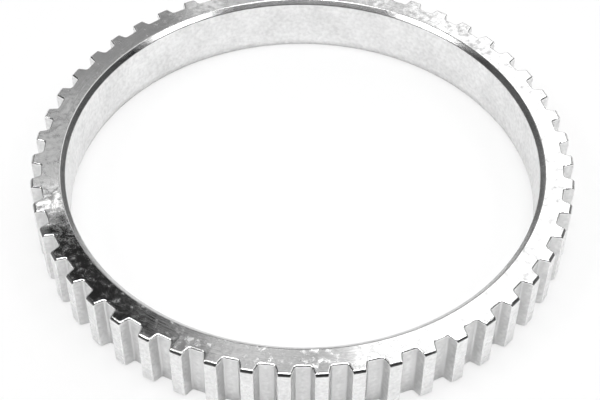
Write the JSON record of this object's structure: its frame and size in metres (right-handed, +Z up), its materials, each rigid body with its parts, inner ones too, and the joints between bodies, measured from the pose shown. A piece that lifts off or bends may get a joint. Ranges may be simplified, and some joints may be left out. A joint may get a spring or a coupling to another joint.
{
  "type": "abs tone ring",
  "caption": "Toothed steel ring that presses onto a round housing, so that a wheel speed sensor can read its teeth as it turns.",
  "frame": {"origin": "on the bore axis, in the plane of the lower face that the ring rests on", "axes": "+Z up along the bore axis, from the lead-in side to the chamfered mouth; the view in the picture looks along +Y with +X to the right"},
  "size_m": [0.0812, 0.0812, 0.0098],
  "materials": {
    "steel": "turned faces with fine concentric tool marks, bright plating, satin bore"
  },
  "bodies": {
    "root": {"tone_ring": "steel"}
  },
  "joints": []
}
